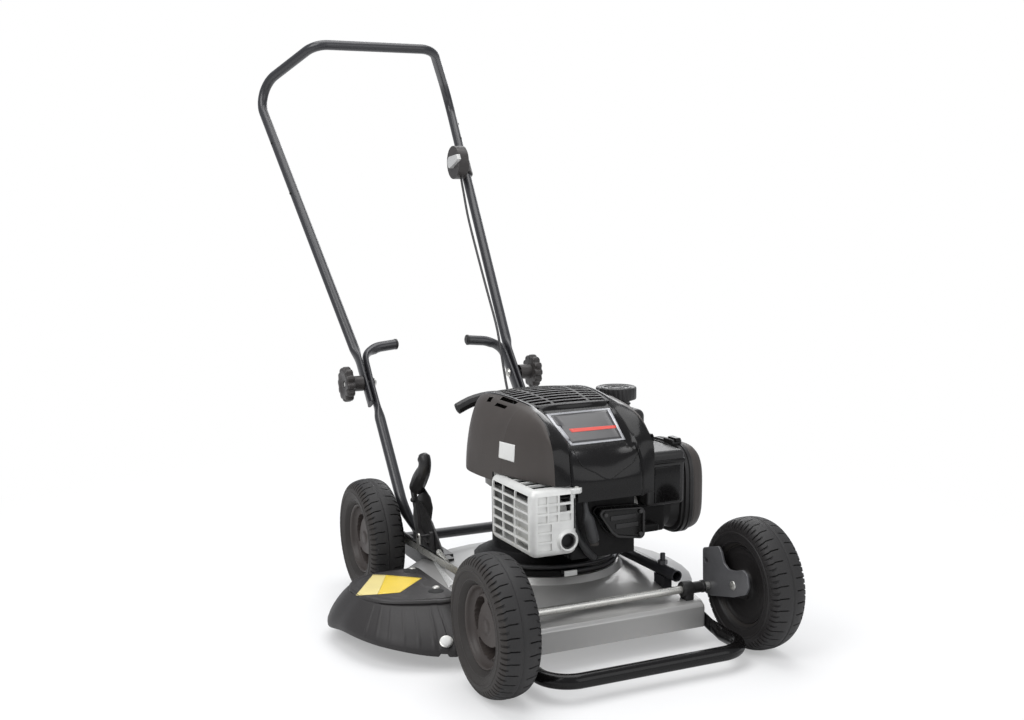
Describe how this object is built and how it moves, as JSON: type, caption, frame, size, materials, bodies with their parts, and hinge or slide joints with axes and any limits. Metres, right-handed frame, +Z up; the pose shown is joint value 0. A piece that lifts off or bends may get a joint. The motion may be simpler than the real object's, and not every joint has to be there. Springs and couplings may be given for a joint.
{
  "type": "walk-behind lawn mower",
  "caption": "Walk-behind rotary lawn mower with side discharge, wheels on a shared height lever, vertical-shaft engine, pull starter, swing-back blades and folding handle.",
  "frame": {"origin": "on the ground under the middle of the bounding box", "axes": "+Z up; -Y towards the front bumper; +X towards the user's left as they stand behind the handle facing the front; the chute is on -X"},
  "size_m": [0.5886, 1.2684, 0.9742],
  "materials": {
    "paint_grey": "semi-gloss",
    "paint_black": "gloss",
    "zinc": "satin",
    "dark_steel": "satin",
    "blade_steel": "satin",
    "cast_alloy": "matt",
    "black_alloy": "matt",
    "gloss_plastic": "gloss",
    "matt_plastic": "matt",
    "rubber": "matt",
    "foam": "matt",
    "ceramic": "gloss",
    "cord": "matt"
  },
  "bodies": {
    "root": {"deck_shell": "paint_grey", "front_bumper": "paint_black", "side_chute": "matt_plastic", "chute_bolt_front": "dark_steel", "chute_bolt_rear": "dark_steel", "deck_rail": "paint_black", "height_quadrant": "dark_steel", "rear_bracket_left": "paint_black", "rear_bracket_right": "paint_black", "front_bush_left": "matt_plastic", "front_bush_right": "matt_plastic", "lower_handle_left": "paint_black", "lower_handle_right": "paint_black", "fold_bolt_left": "zinc", "fold_bolt_right": "zinc", "sump": "black_alloy", "engine_block": "black_alloy", "valve_cover": "gloss_plastic", "muffler": "dark_steel", "muffler_guard": "cast_alloy", "blower_cowl": "gloss_plastic", "carburettor": "cast_alloy", "air_filter_base": "matt_plastic", "air_filter_element": "foam", "fuel_tank": "matt_plastic", "spark_plug": "ceramic", "spark_plug_boot": "rubber"},
    "front_axle": {"front_axle_rod": "zinc", "front_crank_left": "dark_steel", "front_crank_right": "dark_steel"},
    "rear_axle": {"rear_axle_tube": "paint_black", "rear_crank_left": "dark_steel", "rear_crank_right": "dark_steel"},
    "height_lever": {"height_lever": "dark_steel", "lever_grip": "matt_plastic"},
    "height_link": {"height_link": "zinc"},
    "blade_drive": {"crankshaft": "blade_steel", "flywheel": "cast_alloy", "blade_carrier": "blade_steel"},
    "blade_left": {"blade_left": "blade_steel"},
    "blade_right": {"blade_right": "blade_steel"},
    "upper_handle": {"upper_handle": "paint_black", "throttle_housing": "matt_plastic", "throttle_cable": "rubber"},
    "throttle_lever": {"throttle_lever": "zinc"},
    "knob_left": {"knob_left": "matt_plastic"},
    "knob_right": {"knob_right": "matt_plastic"},
    "starter_handle": {"starter_grip": "matt_plastic", "starter_cord": "cord"},
    "air_cover": {"air_cleaner_cover": "gloss_plastic"},
    "fuel_cap": {"fuel_cap": "matt_plastic"},
    "wheel_front_left": {"tyre_front_left": "rubber", "rim_front_left": "matt_plastic"},
    "wheel_front_right": {"tyre_front_right": "rubber", "rim_front_right": "matt_plastic"},
    "wheel_rear_left": {"tyre_rear_left": "rubber", "rim_rear_left": "matt_plastic"},
    "wheel_rear_right": {"tyre_rear_right": "rubber", "rim_rear_right": "matt_plastic"}
  },
  "joints": [
    {"name": "height_lever_pivot", "type": "hinge", "parent": "root", "child": "height_lever", "pos_m": [-0.09625, -0.13923, 0.0955], "axis": [1, 0, 0], "range_deg": [-7, 38]},
    {"name": "front_axle_turn", "type": "hinge", "parent": "root", "child": "front_axle", "pos_m": [0.05275, -0.46924, 0.084], "axis": [1, 0, 0], "range_deg": [-7, 38]},
    {"name": "rear_axle_turn", "type": "hinge", "parent": "root", "child": "rear_axle", "pos_m": [0.05275, 0.05076, 0.0725], "axis": [1, 0, 0], "range_deg": [-7, 38]},
    {"name": "height_link_pivot", "type": "hinge", "parent": "height_lever", "child": "height_link", "pos_m": [-0.11775, -0.13323, 0.1235], "axis": [1, 0, 0], "range_deg": [-38, 7]},
    {"name": "wheel_front_left_spin", "type": "hinge", "parent": "front_axle", "child": "wheel_front_left", "pos_m": [0.26425, -0.53424, 0.1], "axis": [1, 0, 0], "continuous": true},
    {"name": "wheel_front_right_spin", "type": "hinge", "parent": "front_axle", "child": "wheel_front_right", "pos_m": [-0.15875, -0.53424, 0.1], "axis": [1, 0, 0], "continuous": true},
    {"name": "wheel_rear_left_spin", "type": "hinge", "parent": "rear_axle", "child": "wheel_rear_left", "pos_m": [0.26425, -0.01423, 0.1], "axis": [1, 0, 0], "continuous": true},
    {"name": "wheel_rear_right_spin", "type": "hinge", "parent": "rear_axle", "child": "wheel_rear_right", "pos_m": [-0.15875, -0.01423, 0.1], "axis": [1, 0, 0], "continuous": true},
    {"name": "blade_drive_spin", "type": "hinge", "parent": "root", "child": "blade_drive", "pos_m": [0.05275, -0.25623, 0.044], "axis": [0, 0, 1], "continuous": true},
    {"name": "blade_left_swing", "type": "hinge", "parent": "blade_drive", "child": "blade_left", "pos_m": [0.21775, -0.25623, 0.0395], "axis": [0, 0, 1], "continuous": true},
    {"name": "blade_right_swing", "type": "hinge", "parent": "blade_drive", "child": "blade_right", "pos_m": [-0.11225, -0.25623, 0.0395], "axis": [0, 0, 1], "continuous": true},
    {"name": "handle_fold", "type": "hinge", "parent": "root", "child": "upper_handle", "pos_m": [0.05275, 0.17747, 0.3365], "axis": [1, 0, 0], "range_deg": [0, 120], "deforming": ["throttle_cable"]},
    {"name": "knob_left_spin", "type": "hinge", "parent": "root", "child": "knob_left", "pos_m": [0.23125, 0.17747, 0.3365], "axis": [1, 0, 0], "continuous": true},
    {"name": "knob_right_spin", "type": "hinge", "parent": "root", "child": "knob_right", "pos_m": [-0.12575, 0.17747, 0.3365], "axis": [1, 0, 0], "continuous": true},
    {"name": "throttle_lever_turn", "type": "hinge", "parent": "upper_handle", "child": "throttle_lever", "pos_m": [0.22125, 0.49377, 0.738], "axis": [1, 0, 0], "range_deg": [0, 50]},
    {"name": "starter_pull", "type": "slide", "parent": "root", "child": "starter_handle", "axis": [0, 0.8, 0.6], "range_m": [0, 0.5], "deforming": ["starter_cord"]},
    {"name": "air_cover_hinge", "type": "hinge", "parent": "root", "child": "air_cover", "pos_m": [0.24275, -0.33024, 0.1415], "axis": [0, 1, 0], "range_deg": [0, 95]},
    {"name": "fuel_cap_turn", "type": "hinge", "parent": "root", "child": "fuel_cap", "pos_m": [0.19975, -0.22623, 0.34], "axis": [0, 0, 1], "range_deg": [0, 90]}
  ],
  "couplings": [
    {"joint": "front_axle_turn", "follows": "height_lever_pivot", "ratio": 1},
    {"joint": "rear_axle_turn", "follows": "height_lever_pivot", "ratio": 1},
    {"joint": "height_link_pivot", "follows": "height_lever_pivot", "ratio": -1}
  ]
}
